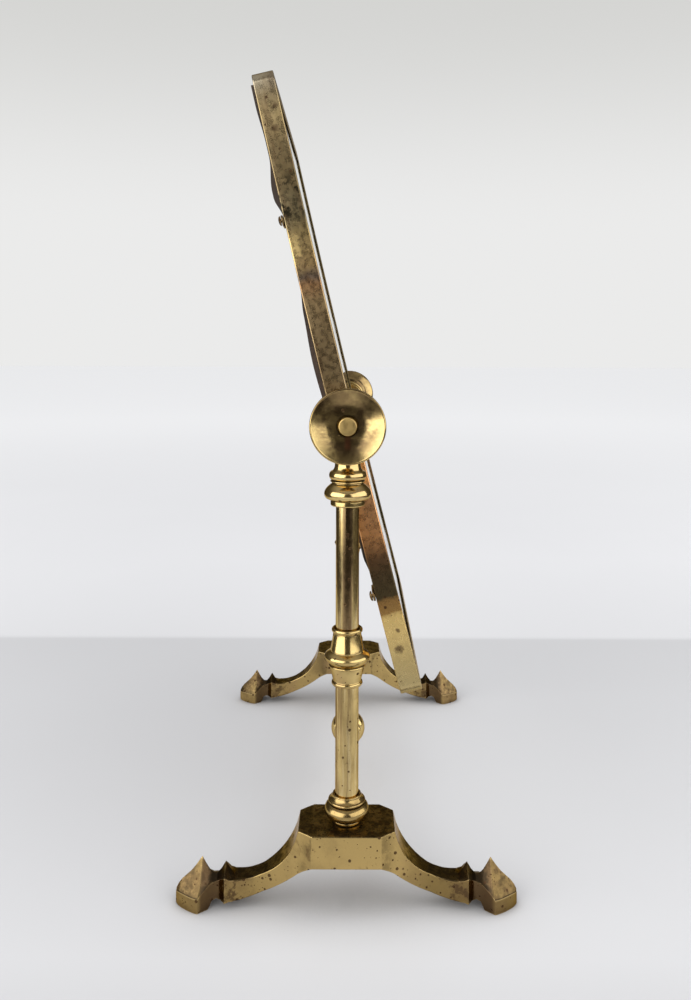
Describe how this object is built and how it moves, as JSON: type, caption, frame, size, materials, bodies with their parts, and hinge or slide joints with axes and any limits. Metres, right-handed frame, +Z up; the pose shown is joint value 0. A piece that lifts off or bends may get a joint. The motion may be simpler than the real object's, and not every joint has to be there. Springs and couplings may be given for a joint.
{
  "type": "cheval picture frame",
  "caption": "Tabletop brass picture frame that tilts between two turned columns on arched cast feet, held by round clamp knobs.",
  "frame": {"origin": "on the table, midway between the two columns", "axes": "+X along the pivot axis to the right as seen from the front, the picture faces -Y, +Z up"},
  "size_m": [0.2212, 0.131, 0.3273],
  "materials": {
    "cast_brass": "cast, worn bright on faces, brown in recesses",
    "turned_brass": "polished, lightly tarnished",
    "tube_brass": "polished tube with fine long scratches",
    "knob_brass": "polished dish, browned at the middle",
    "tarnished_brass": "uneven brown tarnish",
    "screw_brass": "darkened",
    "dark_iron": "black oxide",
    "glass": "clear",
    "card": "matt cream card",
    "print": "faded sepia print",
    "dark_board": "aged, stained dark"
  },
  "bodies": {
    "stand": {"foot_casting_left": "cast_brass", "foot_casting_right": "cast_brass", "base_collar_left": "turned_brass", "base_collar_right": "turned_brass", "lower_tube_left": "tube_brass", "lower_tube_right": "tube_brass", "middle_collar_left": "turned_brass", "middle_collar_right": "turned_brass", "upper_tube_left": "tube_brass", "upper_tube_right": "tube_brass", "column_head_left": "turned_brass", "column_head_right": "turned_brass", "tie_rod_left": "dark_iron", "tie_rod_right": "dark_iron", "tie_nut_left": "dark_iron", "tie_nut_right": "dark_iron", "stretcher_rod": "tube_brass", "stretcher_knop": "turned_brass", "stretcher_collar_left": "turned_brass", "stretcher_collar_right": "turned_brass"},
    "tilting_frame": {"frame_rim": "tarnished_brass", "glass_pane": "glass", "card_mount": "card", "picture_print": "print", "backing_board": "dark_board", "button_screw_1": "screw_brass", "button_screw_2": "screw_brass", "button_screw_3": "screw_brass", "button_screw_4": "screw_brass", "pivot_boss_left": "turned_brass", "pivot_boss_right": "turned_brass", "pivot_stud_left": "screw_brass", "pivot_stud_right": "screw_brass"},
    "knob_left": {"clamp_knob_left": "knob_brass"},
    "knob_right": {"clamp_knob_right": "knob_brass"},
    "button_1": {"turn_button_1": "tarnished_brass"},
    "button_2": {"turn_button_2": "tarnished_brass"},
    "button_3": {"turn_button_3": "tarnished_brass"},
    "button_4": {"turn_button_4": "tarnished_brass"}
  },
  "joints": [
    {"name": "frame_tilt", "type": "hinge", "parent": "stand", "child": "tilting_frame", "pos_m": [0, 0, 0.1843], "axis": [1, 0, 0], "continuous": true},
    {"name": "knob_left_turn", "type": "hinge", "parent": "stand", "child": "knob_left", "pos_m": [-0.1075, 0, 0.1843], "axis": [1, 0, 0], "range_deg": [0, 360]},
    {"name": "knob_right_turn", "type": "hinge", "parent": "stand", "child": "knob_right", "pos_m": [0.1075, 0, 0.1843], "axis": [1, 0, 0], "range_deg": [-360, 0]},
    {"name": "turn_button_1_turn", "type": "hinge", "parent": "tilting_frame", "child": "button_1", "pos_m": [-0.0789, 0.02558, 0.26557], "axis": [0, 0.9724, -0.2334], "range_deg": [0, 90]},
    {"name": "turn_button_2_turn", "type": "hinge", "parent": "tilting_frame", "child": "button_2", "pos_m": [0.0789, 0.02558, 0.26557], "axis": [0, 0.9724, -0.2334], "range_deg": [-90, 0]},
    {"name": "turn_button_3_turn", "type": "hinge", "parent": "tilting_frame", "child": "button_3", "pos_m": [-0.0789, -0.01107, 0.11291], "axis": [0, 0.9724, -0.2334], "range_deg": [0, 90]},
    {"name": "turn_button_4_turn", "type": "hinge", "parent": "tilting_frame", "child": "button_4", "pos_m": [0.0789, -0.01107, 0.11291], "axis": [0, 0.9724, -0.2334], "range_deg": [-90, 0]}
  ]
}
